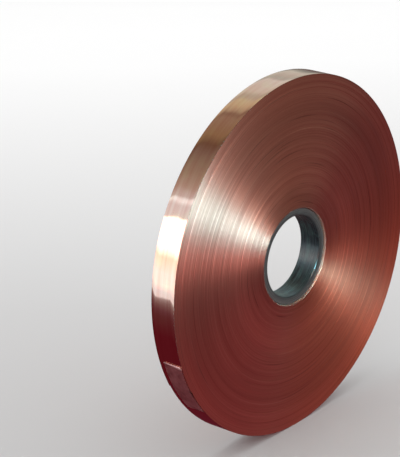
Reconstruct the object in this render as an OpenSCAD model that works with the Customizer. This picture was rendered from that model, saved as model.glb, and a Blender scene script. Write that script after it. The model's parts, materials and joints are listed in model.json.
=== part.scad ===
// Coil of flat copper strip on a ring core. It stands on its rim with its axis along Y, its front
// face towards -Y, and the origin on the floor under the middle of the coil.

/* [Strip] */
// Width of the strip
strip_w = 50; // [30:1:90]
// Thickness of the strip
strip_t = 1; // [0.4:0.1:2]
// Outer diameter of the winding
coil_d = 660; // [420:5:900]

/* [Wound ends] */
// Turns of strip in each band that lies at one level
band_turns = 6; // [3:1:15]
// Farthest that a band lies back from the end plane
band_depth = 0.5; // [0.1:0.1:2]

/* [Core] */
// Bore of the ring core
core_bore_d = 150; // [100:1:200]
// Wall of the ring core
core_wall = 14; // [10:0.5:25]
// Distance that the core lies back from each end of the winding
core_setback = 3; // [0:0.5:8]
// Radius of the rounded lips of the core
core_lip_r = 3; // [1:0.25:4.5]
// Clearance between the core and the first turn
core_fit = 0.3; // [0.1:0.05:0.6]

/* [Tape] */
// Length of the tape round the rim
tape_len = 122; // [80:2:240]
// Width of the tape
tape_w = 38; // [12:1:48]
// Thickness of the tape
tape_t = 0.3; // [0.1:0.05:1]
// Distance from the front face to the tape
tape_inset = 1.5; // [0:0.5:8]
// Clearance under the tape
tape_fit = 0.3; // [0.1:0.05:0.6]
// Length of the tape that lies past the end of the strip
tape_past = 60; // [30:2:120]
// Direction of the strip's outer end, counterclockwise from the right as seen from the front
end_angle = 208; // [190:1:250]

/* [Hidden] */

copper = [0.72, 0.40, 0.33];
core_teal = [0.27, 0.36, 0.38];
tape_mauve = [0.60, 0.46, 0.46];

coil_r = coil_d / 2;
// Radius of the rim under the last lap
under_r = coil_r - strip_t;
core_r = core_bore_d / 2 + core_wall;
core_w = strip_w - 2 * core_setback;
winding_bore_r = core_r + core_fit;
// Height of the axis, with the rim on the floor
axis_z = under_r;
band_w = band_turns * strip_t;
// Bands between the bore and the outermost one, which keeps the strip's full width
band_count = floor((under_r - winding_bore_r) / band_w) - 1;
// Overshoot of the cutters past the faces that they cut
cut = 1;
round_fn = 180;

// Angle between the levels of one band and the next, which spreads them without a repeat
golden_angle = 137.5;

// How far a band lies back from the end plane. The level wanders with the band's number, and phase
// sets one end apart from the other.
function band_level(band, phase) = band_depth * (1 + sin(band * golden_angle + phase)) / 2;

// Angle that an arc of a given length takes at the rim
function rim_angle(arc) = arc / coil_r * 180 / PI;

// Turns a coil drawn flat, with its back on the XY plane, up on its rim
module on_rim() {
    translate([0, strip_w / 2, axis_z])
        rotate([90, 0, 0])
            children();
}

// Half a turn of the rim, on one side of the X axis
module half_turn(r, shift, side) {
    intersection() {
        translate([shift, 0, 0])
            cylinder(r = r, h = strip_w, $fn = round_fn);
        translate([-coil_d, side * coil_d / 2 - coil_d / 2, -cut])
            cube([2 * coil_d, coil_d, strip_w + 2 * cut]);
    }
}

// The whole winding as a disc. The centres of its two half turns lie half a strip apart, so the
// last lap lifts off by one strip thickness and ends in a step at the angle end_angle.
module wound_disc() {
    rotate([0, 0, end_angle]) {
        half_turn(under_r, 0, 1);
        half_turn(under_r + strip_t / 2, strip_t / 2, -1);
    }
}

// What the turns leave free at one end, as a stepped ring with its levels along Z
module end_steps(phase) {
    steps = [
        for (band = [0 : band_count - 1], side = [0, 1])
            [winding_bore_r + (band + side) * band_w, band_level(band, phase)]
    ];
    outer = winding_bore_r + band_count * band_w;
    rotate_extrude($fn = round_fn)
        polygon(concat([[winding_bore_r - cut, -cut]], [[winding_bore_r - cut, band_level(0, phase)]],
            steps, [[outer, -cut]]));
}

module strip_coil() {
    color(copper)
        on_rim()
            difference() {
                wound_disc();
                translate([0, 0, -cut])
                    cylinder(r = winding_bore_r, h = strip_w + 2 * cut, $fn = round_fn);
                end_steps(0);
                translate([0, 0, strip_w])
                    mirror([0, 0, 1])
                        end_steps(90);
            }
}

// Section of the core: a wall with four rounded corners
module core_section() {
    lip_in = core_bore_d / 2 + core_lip_r;
    lip_out = core_r - core_lip_r;
    union() {
        translate([core_bore_d / 2, core_lip_r])
            square([core_wall, core_w - 2 * core_lip_r]);
        translate([lip_in, 0])
            square([lip_out - lip_in, core_w]);
        for (x = [lip_in, lip_out], y = [core_lip_r, core_w - core_lip_r])
            translate([x, y])
                circle(r = core_lip_r, $fn = 48);
    }
}

module core_ring() {
    color(core_teal)
        on_rim()
            translate([0, 0, (strip_w - core_w) / 2])
                rotate_extrude($fn = round_fn)
                    core_section();
}

// Band round the rim as wide as the tape, from one angle on
module rim_band(from, arc, r_in, r_out) {
    rotate([0, 0, from])
        rotate_extrude(angle = arc, $fn = round_fn)
            translate([r_in, strip_w - tape_inset - tape_w])
                square([r_out - r_in, tape_w]);
}

// The tape runs over the last lap, and past its end it fills the step down to the lap below
module end_tape() {
    over_arc = rim_angle(tape_len - tape_past);
    color(tape_mauve)
        on_rim()
            difference() {
                rim_band(end_angle - over_arc, rim_angle(tape_len),
                    under_r + tape_fit, coil_r + tape_fit + tape_t);
                translate([0, 0, -cut / 2])
                    rotate([0, 0, end_angle - over_arc - cut])
                        rotate_extrude(angle = over_arc + cut + rim_angle(tape_fit), $fn = round_fn)
                            translate([under_r - cut, strip_w - tape_inset - tape_w])
                                square([strip_t + tape_fit + cut, tape_w + cut]);
            }
}

strip_coil();
core_ring();
end_tape();
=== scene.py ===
"""Coil of flat copper strip on a ring core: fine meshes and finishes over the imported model.

Everything is in metres in the model's frame. The coil stands on its rim with its axis along Y. A
place on it is given by r, the distance from the axis, by phi, the angle from +X towards +Z, and
by y. The streaks and edges of the finishes are given in millimetres.
"""
import json
import math
import bmesh
import bpy
import numpy as np
from mathutils import Matrix, Vector


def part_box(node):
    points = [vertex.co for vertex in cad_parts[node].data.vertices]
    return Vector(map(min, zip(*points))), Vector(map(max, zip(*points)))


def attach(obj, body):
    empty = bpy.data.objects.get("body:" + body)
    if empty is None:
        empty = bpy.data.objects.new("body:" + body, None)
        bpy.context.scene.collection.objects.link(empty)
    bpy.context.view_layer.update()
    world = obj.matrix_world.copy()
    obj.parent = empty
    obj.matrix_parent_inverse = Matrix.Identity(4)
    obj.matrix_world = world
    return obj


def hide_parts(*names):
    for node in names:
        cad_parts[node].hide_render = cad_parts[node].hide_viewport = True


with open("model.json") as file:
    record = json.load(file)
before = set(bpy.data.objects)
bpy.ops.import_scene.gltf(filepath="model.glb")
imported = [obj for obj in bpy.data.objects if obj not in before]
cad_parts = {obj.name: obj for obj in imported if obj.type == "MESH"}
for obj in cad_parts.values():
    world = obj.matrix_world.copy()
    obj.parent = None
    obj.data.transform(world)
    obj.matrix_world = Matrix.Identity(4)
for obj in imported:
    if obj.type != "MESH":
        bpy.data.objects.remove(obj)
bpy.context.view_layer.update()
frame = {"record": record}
MM = 1000

# Sizes that the frame gives
BORE_MOUNT = next(m for m in frame["record"]["mounts"] if m["name"] == "core_bore")
AXIS_Z = BORE_MOUNT["pos_m"][2]
CORE_BORE_R = BORE_MOUNT["dims"]["r_mm"] / MM
FRONT_Y, BACK_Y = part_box("strip_coil")[0].y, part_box("strip_coil")[1].y
CORE_LOW, CORE_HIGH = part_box("core_ring")
TAPE_LOW, TAPE_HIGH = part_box("end_tape")
CORE_R = (CORE_HIGH.x - CORE_LOW.x) / 2

# Sizes of the strip, its bands of turns and its end, as in the part's source
STRIP_T = 0.001
BAND_W = 6 * STRIP_T
BAND_DEPTH = 0.0005
GOLDEN_ANGLE = math.radians(137.5)
CORE_FIT = 0.0003
CORE_LIP_R = 0.003
TAPE_FIT = 0.0003
TAPE_T = 0.0003
TAPE_LEN = 0.122
TAPE_PAST = 0.060
END_ANGLE = math.radians(208)
UNDER_R = AXIS_Z
COIL_R = UNDER_R + STRIP_T
WINDING_BORE_R = CORE_R + CORE_FIT
RIM_CORNER_R = 0.0004
BORE_CORNER_R = 0.0008
BAND_COUNT = math.floor((UNDER_R - WINDING_BORE_R) / BAND_W) - 1

# How finely the meshes are cut
AROUND = 288
CORE_AROUND = 256
BORE_CORNER_ROWS = 6
RIM_ROWS = 7
TAPE_ROWS = 15
FOLD_COLUMNS = 25
TAPE_COLUMNS = FOLD_COLUMNS + 60


# Shapes

def ring_points(r, phi, y):
    """x = r cos(phi), z = axis height + r sin(phi), on the grid that r, phi and y span together."""
    r, phi, y = np.broadcast_arrays(r, phi, y)
    return np.stack([r * np.cos(phi), y, AXIS_Z + r * np.sin(phi)], axis=-1)


def grid_piece(name, points, closed_columns=True, reverse=False):
    """Quads between neighbouring points of a grid (rows, columns, 3), the last row joined to the
    first. The UV map "wound" has u along the columns and v along the rows, each from 0 to 1."""
    rows, columns = points.shape[:2]
    column_quads = columns if closed_columns else columns - 1
    i, j = np.meshgrid(np.arange(rows), np.arange(column_quads), indexing="ij")
    i_next, j_next = (i + 1) % rows, (j + 1) % columns
    corners = np.stack([i * columns + j, i * columns + j_next,
                        i_next * columns + j_next, i_next * columns + j], -1)
    u = np.stack([j, j + 1, j + 1, j], -1) / column_quads
    v = np.stack([i, i, i + 1, i + 1], -1) / rows
    if reverse:
        corners, u, v = corners[..., ::-1], u[..., ::-1], v[..., ::-1]
    quads = corners.reshape(-1, 4)
    mesh = bpy.data.meshes.new(name)
    mesh.vertices.add(rows * columns)
    mesh.vertices.foreach_set("co", points.reshape(-1).astype(np.float32))
    mesh.loops.add(quads.size)
    mesh.loops.foreach_set("vertex_index", quads.reshape(-1).astype(np.int32))
    mesh.polygons.add(len(quads))
    mesh.polygons.foreach_set("loop_start", np.arange(0, quads.size, 4, dtype=np.int32))
    mesh.update(calc_edges=True)
    mesh.polygons.foreach_set("use_smooth", np.ones(len(quads), bool))
    layer = mesh.uv_layers.new(name="wound")
    layer.data.foreach_set("uv", np.stack([u, v], -1).reshape(-1).astype(np.float32))
    piece = bpy.data.objects.new(name, mesh)
    bpy.context.scene.collection.objects.link(piece)
    return piece


def lap_radius(phi):
    """Outer radius of the winding. Over the half turn before the strip's end the rim is a circle of
    radius R = under + t/2 about a centre c = t/2 off towards the end, so that
    r = c cos(d) + sqrt(R^2 - c^2 sin(d)^2), with d the angle from the end. On the other half it is
    the radius under the last lap."""
    d = (phi - END_ANGLE + math.pi) % (2 * math.pi) - math.pi
    c = STRIP_T / 2
    lap = c * np.cos(d) + np.sqrt((UNDER_R + c) ** 2 - (c * np.sin(d)) ** 2)
    return np.where(d <= 0, lap, UNDER_R)


def end_section(phase):
    """Radii and set-backs of one wound end, from the bore outwards. Band n lies back from the end
    plane by depth (1 + sin(n golden + phase)) / 2. A step between two bands is half a strip wide,
    with one more row of points close on each side of it, which keeps the bands flat in the light.
    The bore's corner is a quarter circle."""
    soft = STRIP_T / 4
    near = 2 * soft
    band = np.arange(BAND_COUNT)
    level = BAND_DEPTH * (1 + np.sin(band * GOLDEN_ANGLE + phase)) / 2
    start = WINDING_BORE_R + band * BAND_W
    end = start + BAND_W
    radii = np.stack([start + soft, start + near, end - near, end - soft], -1).ravel()[2:]
    levels = np.repeat(level, 4)[2:]
    turn = np.radians(np.linspace(0, 90, BORE_CORNER_ROWS))
    corner_r = WINDING_BORE_R + BORE_CORNER_R * (1 - np.cos(turn))
    corner_set = level[0] + BORE_CORNER_R * (1 - np.sin(turn))
    outer = WINDING_BORE_R + BAND_COUNT * BAND_W
    radii = np.concatenate([corner_r, radii, [outer + soft, outer + near, UNDER_R - STRIP_T]])
    levels = np.concatenate([corner_set, levels, [0, 0, 0]])
    return radii, levels


def winding():
    """The wound strip as one closed shell, a section carried round the axis: out along the front
    end, over the rim, in along the rear end, and back through the bore. Two columns of the grid
    share the angle of the strip's outer end, one on each side of its step."""
    step_gap = 1e-6
    front_r, front_set = end_section(0)
    back_r, back_set = end_section(math.pi / 2)
    turn = np.radians([0, 30, 60, 90])
    rounding_in = RIM_CORNER_R * (np.sin(turn) - 1)
    rounding_y = RIM_CORNER_R * (1 - np.cos(turn))
    across = np.linspace(FRONT_Y + RIM_CORNER_R, BACK_Y - RIM_CORNER_R, RIM_ROWS)[1:-1]
    on_rim = np.concatenate([rounding_in, 0 * across, rounding_in[::-1]])
    y = np.concatenate([FRONT_Y + front_set, FRONT_Y + rounding_y, across,
                        BACK_Y - rounding_y[::-1], BACK_Y - back_set[::-1]])
    phi = END_ANGLE + np.linspace(0, 2 * math.pi, AROUND)
    phi[0] += step_gap
    phi[-1] -= step_gap
    rim_r = lap_radius(phi)[None, :] + on_rim[:, None]
    inner = np.ones((1, AROUND))
    r = np.concatenate([front_r[:, None] * inner, rim_r, back_r[::-1, None] * inner])
    piece = grid_piece("strip_coil_winding", ring_points(r, phi[None, :], y[:, None]))
    # The rim and the bore show the rolled face of the strip, the ends its slit edges
    row = np.repeat(np.arange(len(y)), AROUND)
    rim_start = len(front_r)
    rolled = ((row < BORE_CORNER_ROWS - 1) | (row >= len(y) - BORE_CORNER_ROWS)
              | ((row >= rim_start) & (row < rim_start + len(on_rim) - 1)))
    piece.data.materials.append(slit_edges())
    piece.data.materials.append(rolled_copper())
    piece.data.polygons.foreach_set("material_index", rolled.astype(np.int32))
    return piece


def core():
    """The ring core: a wall with four round lips, as a closed section carried round the axis."""
    turn = np.radians(np.linspace(0, 90, 9))
    lip = CORE_LIP_R
    low, high = CORE_LOW.y + lip, CORE_HIGH.y - lip
    corners = [(CORE_R - lip, low, -90), (CORE_R - lip, high, 0),
               (CORE_BORE_R + lip, high, 90), (CORE_BORE_R + lip, low, 180)]
    r = np.concatenate([cr + lip * np.cos(turn + math.radians(a)) for cr, cy, a in corners])
    y = np.concatenate([cy + lip * np.sin(turn + math.radians(a)) for cr, cy, a in corners])
    phi = np.linspace(0, 2 * math.pi, CORE_AROUND, endpoint=False)
    piece = grid_piece("core_ring_wall", ring_points(r[:, None], phi[None, :], y[:, None]))
    piece.data.materials.append(core_plastic())
    return piece


def tape():
    """The tape as a thin closed shell. It follows the rim at its clearance and comes down by one
    strip thickness past the strip's end, over the sink's length. Its upper end has one low fold
    across it, lift sin^2(pi s) with s from 0 to 1 over the fold's length, highest at the front
    edge. Its top has fine ripples, h sin(rate phi + sway sin(sway rate y)) where that is more
    than 0."""
    fold_at, fold_len, fold_columns_end, plain_start = -0.0015, 0.0060, 0.012, 0.016
    rear_lift, more_lift, low_share = 0.0006, 0.0014, 0.9
    sink_len = 0.018
    ripple_h, ripple_rate, sway, sway_rate = 0.00008, 260, 9, 120
    start = END_ANGLE - (TAPE_LEN - TAPE_PAST) / COIL_R
    arc = np.concatenate([np.linspace(0, fold_columns_end, FOLD_COLUMNS),
                          np.linspace(plain_start, TAPE_LEN, TAPE_COLUMNS - FOLD_COLUMNS)])
    phi = start + arc / COIL_R
    across = np.linspace(TAPE_LOW.y, TAPE_HIGH.y, TAPE_ROWS)
    forward = (TAPE_HIGH.y - across) / (TAPE_HIGH.y - TAPE_LOW.y)
    s = np.clip((arc - fold_at) / fold_len, 0, 1)
    lift = (rear_lift + more_lift * forward[None, :]) * np.sin(math.pi * s[:, None]) ** 2
    sink = STRIP_T * np.clip((phi - END_ANGLE) * COIL_R / sink_len, 0, 1)
    under = (COIL_R + TAPE_FIT - sink)[:, None]
    swayed = sway * np.sin(across[None, :] * sway_rate)
    ripple = ripple_h * np.sin(phi[:, None] * ripple_rate + swayed)
    top = under + TAPE_T + lift + np.maximum(ripple, 0)
    low = under + lift * low_share
    r = np.concatenate([top, low[:, ::-1]], axis=1).T
    y = np.concatenate([across, across[::-1]])[:, None]
    points = ring_points(r, phi[None, :], y)
    piece = grid_piece("end_tape_film", points, closed_columns=False, reverse=True)
    close_ends(piece, points.shape[0], points.shape[1])
    piece.data.materials.append(tape_film())
    return piece


def close_ends(piece, rows, columns):
    """Closes the two open ends of a tube-like grid with one face each."""
    work = bmesh.new()
    work.from_mesh(piece.data)
    work.verts.ensure_lookup_table()
    for column, step in ((0, 1), (columns - 1, -1)):
        ring = [work.verts[i * columns + column] for i in range(rows)]
        work.faces.new(ring[::step])
    bmesh.ops.recalc_face_normals(work, faces=work.faces)
    work.to_mesh(piece.data)
    work.free()


# Node helpers

class Finish:
    """A new material with its Principled shader, and short forms for the nodes that feed it."""

    def __init__(self, name):
        self.material = bpy.data.materials.new(name)
        self.material.use_nodes = True
        self.nodes = self.material.node_tree.nodes
        self.links = self.material.node_tree.links
        self.nodes.clear()
        self.output = self.nodes.new("ShaderNodeOutputMaterial")
        self.shader = self.nodes.new("ShaderNodeBsdfPrincipled")
        self.links.new(self.shader.outputs[0], self.output.inputs[0])

    def feed(self, socket, value):
        """Links a socket or sets a plain value."""
        if isinstance(value, bpy.types.NodeSocket):
            self.links.new(value, socket)
        else:
            socket.default_value = value

    def set(self, **values):
        """Sets the shader's sockets by name, with _ for a space."""
        for name, value in values.items():
            self.feed(self.shader.inputs[name.replace("_", " ")], value)

    def maths(self, operation, *values):
        node = self.nodes.new("ShaderNodeMath")
        node.operation = operation
        for socket, value in zip(node.inputs, values):
            self.feed(socket, value)
        return node.outputs[0]

    def vector_maths(self, operation, *values, output="Vector"):
        node = self.nodes.new("ShaderNodeVectorMath")
        node.operation = operation
        for socket, value in zip(node.inputs, values):
            self.feed(socket, value)
        return node.outputs[output]

    def scaled(self, vector, factor):
        """A vector times a number."""
        result = self.vector_maths("SCALE", vector)
        self.feed(result.node.inputs["Scale"], factor)
        return result

    def split(self, vector):
        """The three sockets X, Y and Z of a vector."""
        node = self.nodes.new("ShaderNodeSeparateXYZ")
        self.links.new(vector, node.inputs[0])
        return node.outputs

    def object_place(self):
        return self.nodes.new("ShaderNodeTexCoord").outputs["Object"]

    def vector(self, x, y, z):
        node = self.nodes.new("ShaderNodeCombineXYZ")
        for socket, value in zip(node.inputs, (x, y, z)):
            self.feed(socket, value)
        return node.outputs[0]

    def stretch(self, value, low, high, to_low=0.0, to_high=1.0):
        """Maps low..high to to_low..to_high and stops at both ends."""
        node = self.nodes.new("ShaderNodeMapRange")
        for socket, number in zip(node.inputs, (value, low, high, to_low, to_high)):
            self.feed(socket, number)
        return node.outputs[0]

    def ramp(self, value, stops):
        """Colours along a value from 0 to 1. stops are (place, (red, green, blue))."""
        node = self.nodes.new("ShaderNodeValToRGB")
        elements = node.color_ramp.elements
        for k, (place, colour) in enumerate(stops):
            stop = elements[k] if k < 2 else elements.new(place)
            stop.position = place
            stop.color = (*colour, 1)
        self.links.new(value, node.inputs[0])
        return node.outputs[0]

    def mix(self, factor, a, b, blend="MIX"):
        node = self.nodes.new("ShaderNodeMix")
        node.data_type = "RGBA"
        node.blend_type = blend
        self.feed(node.inputs["Factor"], factor)
        for socket, value in ((node.inputs["A"], a), (node.inputs["B"], b)):
            self.feed(socket, value if isinstance(value, bpy.types.NodeSocket) else (*value, 1))
        return node.outputs["Result"]

    def noise(self, place, detail=2.0, rough=0.5):
        node = self.nodes.new("ShaderNodeTexNoise")
        self.links.new(place, node.inputs["Vector"])
        node.inputs["Scale"].default_value = 1
        node.inputs["Detail"].default_value = detail
        node.inputs["Roughness"].default_value = rough
        return node.outputs[0]

    def bump(self, height, distance, strength=1.0, normal=None):
        node = self.nodes.new("ShaderNodeBump")
        self.links.new(height, node.inputs["Height"])
        node.inputs["Distance"].default_value = distance
        node.inputs["Strength"].default_value = strength
        if normal is not None:
            self.links.new(normal, node.inputs["Normal"])
        return node.outputs[0]

    def round_the_axis(self):
        """Object coordinates as r in millimetres, the unit vector away from the axis, and y in
        millimetres."""
        place = self.split(self.object_place())
        away = self.vector(place["X"], 0.0, self.maths("SUBTRACT", place["Z"], AXIS_Z))
        r = self.vector_maths("LENGTH", away, output="Value")
        unit = self.vector_maths("NORMALIZE", away)
        return self.maths("MULTIPLY", r, MM), unit, self.maths("MULTIPLY", place["Y"], MM)

    def arcs(self, across, unit, cell, drift, seed, detail=2.0):
        """Streaks that run round the axis: noise that changes over cell millimetres across them,
        and drift times over one radian along them."""
        turned = self.split(self.scaled(unit, drift))
        place = self.vector(self.maths("MULTIPLY_ADD", across, 1 / cell, seed),
                            turned["X"], turned["Z"])
        return self.noise(place, detail)


# Finishes

def slit_edges():
    """The ends of the winding: slit edges of copper strip, turn by turn. Their light runs across
    the turns in a fan, because the turns are fine grooves, and each edge leans a little
    outwards."""
    f = Finish("copper_slit_edges")
    r, unit = f.round_the_axis()[:2]
    turns = f.arcs(r, unit, 1.7, 0.5, 3.0, detail=1.0)
    groups = f.arcs(r, unit, 5.5, 0.8, 11.0)
    broad = f.arcs(r, unit, 34.0, 1.1, 23.0)
    tone = f.maths("ADD", f.maths("MULTIPLY", turns, 0.55), f.maths("MULTIPLY", groups, 0.45))
    colour = f.ramp(f.stretch(tone, 0.25, 0.75), [
        (0.0, (0.63, 0.23, 0.165)), (0.35, (0.75, 0.31, 0.23)),
        (0.7, (0.83, 0.37, 0.27)), (1.0, (0.91, 0.48, 0.36))])
    tarnish = f.stretch(broad, 0.52, 0.75)
    colour = f.mix(f.maths("MULTIPLY", tarnish, 0.35), colour, (0.60, 0.27, 0.20))
    # Painted sheen: towards the lower right of each end the colour is tinted redder, for the warm
    # light that falls there
    painted_warm_side = f.vector_maths("DOT_PRODUCT", unit, (0.77, 0.0, -0.64), output="Value")
    colour = f.mix(f.stretch(painted_warm_side, 0.45, 0.95), colour, (1.0, 0.74, 0.62), blend="MULTIPLY")
    # Broad rings of the ends are painted lighter and darker by their radius: a painted sheen,
    # stronger at some radii than at others
    painted_sheen_rings = f.ramp(f.stretch(r, 0, MM * COIL_R), [
        (share, (shine, shine, shine)) for share, shine in (
            (0.28, 0.87), (0.36, 0.96), (0.45, 1.11), (0.53, 1.04), (0.60, 0.99), (0.70, 0.96),
            (0.80, 0.88), (0.88, 0.96), (0.94, 1.05), (0.98, 1.02))])
    colour = f.mix(1.0, colour, painted_sheen_rings, blend="MULTIPLY")
    # A few turns that stand apart from their neighbours get dark arcs of painted shade in the gaps
    # between them
    painted_gap_shade = f.stretch(f.arcs(r, unit, 2.6, 1.4, 47.0, detail=0.0), 0.74, 0.82)
    colour = f.mix(f.maths("MULTIPLY", painted_gap_shade, 0.4), colour, (0.22, 0.08, 0.06))
    wide = f.arcs(r, unit, 3.4, 0.6, 61.0)
    roughness = f.stretch(wide, 0.25, 0.75, 0.45, 0.56)
    lean = f.stretch(f.arcs(r, unit, 2.4, 0.5, 83.0), 0.3, 0.7, 0.23, 0.37)
    face = f.nodes.new("ShaderNodeNewGeometry").outputs["Normal"]
    leaned = f.vector_maths("NORMALIZE", f.vector_maths("ADD", face, f.scaled(unit, lean)))
    normal = f.bump(f.maths("ADD", turns, f.maths("MULTIPLY", groups, 1.5)), 0.00015, normal=leaned)
    f.set(Base_Color=colour, Metallic=1.0, Roughness=roughness, Normal=normal,
          Anisotropic=0.88, Anisotropic_Rotation=0.25)
    tangent = f.nodes.new("ShaderNodeTangent")
    tangent.direction_type = "UV_MAP"
    tangent.uv_map = "wound"
    f.links.new(tangent.outputs[0], f.shader.inputs["Tangent"])
    return f.material


def rolled_copper():
    """The rim: the strip's bright rolled face, with fine lines along it and faint patches."""
    f = Finish("copper_rolled_face")
    r, unit, y = f.round_the_axis()
    lines = f.arcs(y, unit, 0.9, 1.5, 5.0, detail=3.0)
    strips = f.arcs(y, unit, 6.0, 2.5, 17.0)
    patches = f.arcs(y, unit, 22.0, 11.0, 29.0, detail=3.0)
    colour = f.mix(f.stretch(strips, 0.3, 0.7), (0.86, 0.46, 0.35), (0.93, 0.57, 0.44))
    patch = f.maths("MULTIPLY", f.stretch(patches, 0.50, 0.68), 0.45)
    colour = f.mix(patch, colour, (0.90, 0.62, 0.42))
    # The innermost lap is scuffed at its edge
    scuffed = f.stretch(r, MM * WINDING_BORE_R + 2, MM * WINDING_BORE_R + 4, 1, 0)
    roughness = f.maths("MULTIPLY_ADD", scuffed, 0.45, f.stretch(lines, 0.3, 0.7, 0.02, 0.075))
    # The strip's two corners are rougher and much darker
    corner = f.stretch(f.maths("ABSOLUTE", y),
                       MM * (BACK_Y - RIM_CORNER_R), MM * (BACK_Y - RIM_CORNER_R / 3))
    roughness = f.maths("MULTIPLY_ADD", corner, 0.5, roughness)
    colour = f.mix(f.maths("MULTIPLY", corner, 0.8), colour, (0.20, 0.09, 0.07))
    waves = f.arcs(y, unit, 30.0, 7.0, 41.0, detail=1.0)
    normal = f.bump(waves, 0.00035, normal=f.bump(lines, 0.000006))
    f.set(Base_Color=colour, Metallic=1.0, Roughness=roughness, Normal=normal)
    return f.material


def core_plastic():
    """The ring core: dark teal-grey, satin, blotchy, with turning marks round it. Its near-black
    colour is partly its own and partly painted shade in the bore, and its lips are paler with a
    painted highlight.
    """
    f = Finish("core_teal_grey")
    r, unit, y = f.round_the_axis()
    along = f.maths("ADD", r, y)
    marks = f.arcs(along, unit, 2.2, 1.2, 7.0)
    streaks = f.arcs(along, unit, 7.0, 1.6, 19.0)
    blotches = f.arcs(along, unit, 11.0, 6.0, 31.0, detail=3.0)
    tone = f.maths("ADD", f.maths("MULTIPLY", streaks, 0.6), f.maths("MULTIPLY", blotches, 0.4))
    # Near black: partly the core's own dark colour, partly painted shade in the bore
    colour = f.ramp(f.stretch(tone, 0.32, 0.68), [
        (0.0, (0.005, 0.009, 0.013)), (0.5, (0.012, 0.026, 0.030)), (1.0, (0.034, 0.072, 0.068))])
    # Painted highlight: the lips are paler, most towards their outer edge
    lip = f.stretch(f.maths("ABSOLUTE", y), MM * CORE_HIGH.y - 2.6, MM * CORE_HIGH.y - 0.4)
    outer = f.stretch(r, MM * CORE_BORE_R + 3, MM * CORE_R - 1)
    pale = f.maths("MULTIPLY", lip, f.maths("MULTIPLY_ADD", outer, 0.5, 0.35))
    colour = f.mix(pale, colour, (0.125, 0.128, 0.122))
    roughness = f.stretch(marks, 0.3, 0.7, 0.20, 0.40)
    normal = f.bump(blotches, 0.0004, normal=f.bump(marks, 0.00012))
    f.set(Base_Color=colour, Roughness=roughness, Normal=normal, Specular_IOR_Level=0.6)
    return f.material


def tape_film():
    """The tape: a thin mauve film with soft creases, duller than the copper beside it. Where its
    upper end is folded it carries a painted glint, palest at the front edge."""
    f = Finish("tape_mauve_film")
    place = f.object_place()
    blotch = f.noise(f.scaled(place, 70), 3.0)
    colour = f.mix(f.stretch(blotch, 0.35, 0.65), (0.135, 0.029, 0.031), (0.215, 0.062, 0.065))
    wound = f.nodes.new("ShaderNodeUVMap")
    wound.uv_map = "wound"
    fold_share = FOLD_COLUMNS / TAPE_COLUMNS
    forward = f.stretch(f.split(place)["Y"], TAPE_HIGH.y, TAPE_LOW.y, 0.35, 1.0)
    along = f.maths("DIVIDE", f.split(wound.outputs[0])["X"], forward)
    # Painted glint on the folded upper end, palest at the front edge
    fold = f.stretch(along, 0.15 * fold_share, 0.70 * fold_share, 1, 0)
    colour = f.mix(f.maths("MULTIPLY", fold, forward), colour, (0.80, 0.44, 0.43))
    normal = f.bump(blotch, 0.0012)
    f.set(Base_Color=colour, Roughness=0.28, Normal=normal, Specular_IOR_Level=0.6)
    return f.material


# Stage, lamps and camera

def sheet_piece(name, half, z):
    """A level square sheet about the origin, from -half to half, at the height z."""
    mesh = bpy.data.meshes.new(name)
    mesh.from_pydata([(-half, -half, z), (half, -half, z), (half, half, z), (-half, half, z)],
                     [], [(0, 1, 2, 3)])
    piece = bpy.data.objects.new(name, mesh)
    bpy.context.scene.collection.objects.link(piece)
    return piece


def only_in_reflections(piece):
    piece.visible_camera = False
    piece.visible_diffuse = False
    piece.visible_transmission = False
    piece.visible_volume_scatter = False
    piece.visible_shadow = False


def lit(name):
    """A material that only gives light, as a Finish whose shader is an Emission node."""
    f = Finish(name)
    f.nodes.remove(f.shader)
    f.shader = f.nodes.new("ShaderNodeEmission")
    f.links.new(f.shader.outputs[0], f.output.inputs[0])
    return f


def floor():
    """The pale floor, with painted light: its grey gets lighter with the metres from the coil along
    one direction, which leads away from the photo's viewpoint."""
    f = Finish("floor_paint")
    away = f.vector_maths("DOT_PRODUCT", f.object_place(), (0.7557, 0.6550, 0), output="Value")
    painted_light_greys = [(-0.13, 0.55), (0.16, 0.58), (0.34, 0.60), (0.53, 0.62), (0.74, 0.66), (1.08, 0.73),
             (1.55, 0.83), (1.95, 0.91), (2.28, 0.97), (2.62, 0.99)]
    near, far = -1, 3
    colour = f.ramp(f.stretch(away, near, far),
                    [((q - near) / (far - near), (g, g, g)) for q, g in painted_light_greys])
    f.set(Base_Color=colour, Roughness=0.9, Specular_IOR_Level=0.1)
    sheet_piece("floor", 30, 0).data.materials.append(f.material)


# Light of the long panels behind the coil, by the angle round the axis in degrees. In the photo's
# view the rim at phi shows the panel at 2 phi - 151.
REAR_PANELS = [
    (0, (0.24, 0.26, 0.24)), (5, (0.36, 0.41, 0.38)), (10, (0.57, 0.66, 0.62)),
    (15, (0.56, 0.65, 0.62)), (22, (0.50, 0.60, 0.57)), (26, (0.45, 0.57, 0.57)),
    (30, (0.48, 0.60, 0.60)), (32, (0.66, 0.82, 0.85)), (50, (0.62, 0.75, 0.74)),
    (55, (0.47, 0.56, 0.52)), (58, (0.48, 0.56, 0.50)), (61, (0.56, 0.64, 0.49)),
    (67, (0.53, 0.56, 0.41)), (72, (0.40, 0.40, 0.31)), (75, (0.23, 0.19, 0.15)),
    (79, (0.29, 0.25, 0.20)), (93, (0.26, 0.22, 0.14)), (100, (0.15, 0.11, 0.08)),
    (106, (0.19, 0.16, 0.14)), (121, (0.31, 0.30, 0.26)), (130, (0.44, 0.45, 0.43)),
    (136.5, (0.62, 0.74, 0.82)), (138, (1.05, 1.45, 1.7)), (140, (1.05, 1.45, 1.7)),
    (141, (0.76, 0.96, 1.12)), (149.5, (0.82, 1.05, 1.2)), (150.1, (3, 3, 3)), (168, (3, 3, 3)),
    (174, (1.6, 1.5, 1.35)), (184, (1.6, 1.7, 1.85)), (240, (1.5, 1.6, 1.75)),
    (360, (0.24, 0.26, 0.24))]
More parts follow.
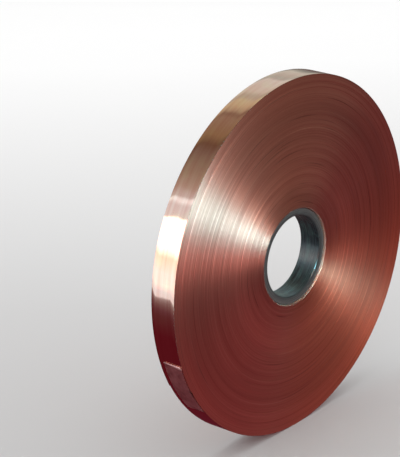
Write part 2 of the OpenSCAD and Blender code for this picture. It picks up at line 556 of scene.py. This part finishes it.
# Light in front of the coil, by the same angle
FRONT_PANELS = [
    (0, (0.27, 0.25, 0.23)), (25, (0.19, 0.14, 0.12)), (50, (0.21, 0.16, 0.14)),
    (80, (0.34, 0.31, 0.29)), (120, (0.27, 0.20, 0.18)), (180, (0.27, 0.13, 0.125)),
    (240, (0.19, 0.07, 0.075)), (280, (0.17, 0.07, 0.075)), (305, (0.29, 0.26, 0.25)),
    (330, (0.38, 0.39, 0.37)), (360, (0.27, 0.25, 0.23))]
# Light of the cloth on the floor behind the coil's front, by x in metres
CLOTH = [
    (-2.0, (1.6, 1.7, 1.85)), (-1.55, (0.97, 1.3, 1.55)), (-1.33, (0.95, 1.2, 1.4)),
    (-1.27, (0.40, 0.42, 0.48)), (-1.16, (0.25, 0.21, 0.24)), (-1.07, (0.19, 0.13, 0.15)),
    (-0.93, (0.135, 0.06, 0.08)), (-0.83, (0.11, 0.035, 0.045)), (-0.6, (0.095, 0.01, 0.02)),
    (-0.1, (0.095, 0.01, 0.02)), (0.5, (0.17, 0.14, 0.13))]


def reflection_dome():
    """A large shell of studio panels round the coil that only reflections see. The panels run
    parallel to the axis, so their light depends on the angle round it and on the side, behind or
    in front."""
    f = lit("panel_light")
    place = f.split(f.object_place())
    angle = f.maths("ARCTAN2", f.maths("SUBTRACT", place["Z"], AXIS_Z), place["X"])
    turn = f.maths("FRACT", f.maths("MULTIPLY_ADD", angle, 0.5 / math.pi, 1.0))
    rear = f.ramp(turn, [(a / 360, colour) for a, colour in REAR_PANELS])
    front = f.ramp(turn, [(a / 360, colour) for a, colour in FRONT_PANELS])
    side = f.stretch(place["Y"], -0.75, 0.75)
    f.links.new(f.mix(side, front, rear), f.shader.inputs["Color"])
    bpy.ops.mesh.primitive_uv_sphere_add(segments=48, ring_count=24, radius=8)
    dome = bpy.context.object
    dome.name = "reflection_dome"
    dome.data.transform(Matrix.Translation((0, 0, AXIS_Z)))
    dome.data.materials.append(f.material)
    only_in_reflections(dome)


def floor_cloth():
    """A dark red-brown cloth on the floor that only reflections see, which turns white far to the
    left of the axis, behind the coil's front."""
    f = lit("cloth_light")
    place = f.split(f.object_place())
    left, right = CLOTH[0][0], CLOTH[-1][0]
    behind = f.ramp(f.stretch(place["X"], left, right),
                    [((x - left) / (right - left), colour) for x, colour in CLOTH])
    near = f.stretch(place["Y"], -0.70, -0.10)
    front = f.mix(near, (0.13, 0.070, 0.080), (0.235, 0.085, 0.105))
    rear = f.stretch(place["Y"], -0.02, 0.0)
    f.links.new(f.mix(rear, front, behind), f.shader.inputs["Color"])
    sheet = sheet_piece("floor_cloth", 7.5, 0.0015)
    sheet.data.materials.append(f.material)
    only_in_reflections(sheet)


def world_light(strength):
    world = bpy.data.worlds.new("studio")
    world.use_nodes = True
    background = world.node_tree.nodes["Background"]
    background.inputs["Color"].default_value = (1, 1, 1, 1)
    background.inputs["Strength"].default_value = strength
    bpy.context.scene.world = world


def panel_lamp(name, place, target, size, power, colour=(1, 1, 1), spread=180,
               glossy=True, diffuse=True):
    """A rectangular lamp that looks from its place at its target. spread is in degrees."""
    light = bpy.data.lights.new(name, "AREA")
    light.shape = "RECTANGLE"
    light.size, light.size_y = size
    light.energy = power
    light.color = colour
    light.spread = math.radians(spread)
    lamp = bpy.data.objects.new(name, light)
    bpy.context.scene.collection.objects.link(lamp)
    look = Vector(target) - Vector(place)
    lamp.location = place
    lamp.rotation_euler = look.to_track_quat("-Z", "Y").to_euler()
    lamp.visible_camera = False
    lamp.visible_glossy = glossy
    lamp.visible_diffuse = diffuse


def camera():
    """The camera. Its place is in coil radii from the middle of the coil's front end."""
    data = bpy.data.cameras.new("camera")
    data.sensor_width = 36
    data.lens = 159.648
    right = Vector((0.644227, -0.764415, -0.025334))
    up = Vector((0.293699, 0.216665, 0.931020))
    turn = Matrix((right, up, right.cross(up))).transposed().to_4x4()
    turn.translation = Vector((0, FRONT_Y, AXIS_Z)) + COIL_R * Vector((-7.97841, -6.18865, 4.12091))
    eye = bpy.data.objects.new("camera", data)
    bpy.context.scene.collection.objects.link(eye)
    eye.matrix_world = turn
    bpy.context.scene.camera = eye


for piece, node, slot in ((winding(), "strip_coil", "copper_strip"),
                          (core(), "core_ring", "core_plastic"),
                          (tape(), "end_tape", "tape_film")):
    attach(piece, "root")
    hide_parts(node)
floor()
floor_cloth()
reflection_dome()
world_light(0.95)
panel_lamp("cool_key", (-0.885, -0.55, 1.046), (-0.19, 0, 0.47), (0.50, 0.50), 1.64,
           colour=(0.33, 0.92, 1.12), spread=13, diffuse=False)
panel_lamp("pink_side", (-1.12, -0.55, 0.52), (-0.22, 0, 0.38), (0.5, 0.5), 0.18,
           colour=(1.0, 0.42, 0.36), spread=25, diffuse=False)
panel_lamp("warm_fill", (-0.60, -0.65, 1.40), (0.33, 0, 0.07), (0.5, 0.5), 0.40,
           colour=(1.0, 0.48, 0.26), spread=25, diffuse=False)
panel_lamp("top_soft", (0.0, 0.0, 3.2), (0, 0, 0), (2.5, 2.5), 18, glossy=False)
camera()
bpy.context.scene.view_settings.view_transform = "Standard"
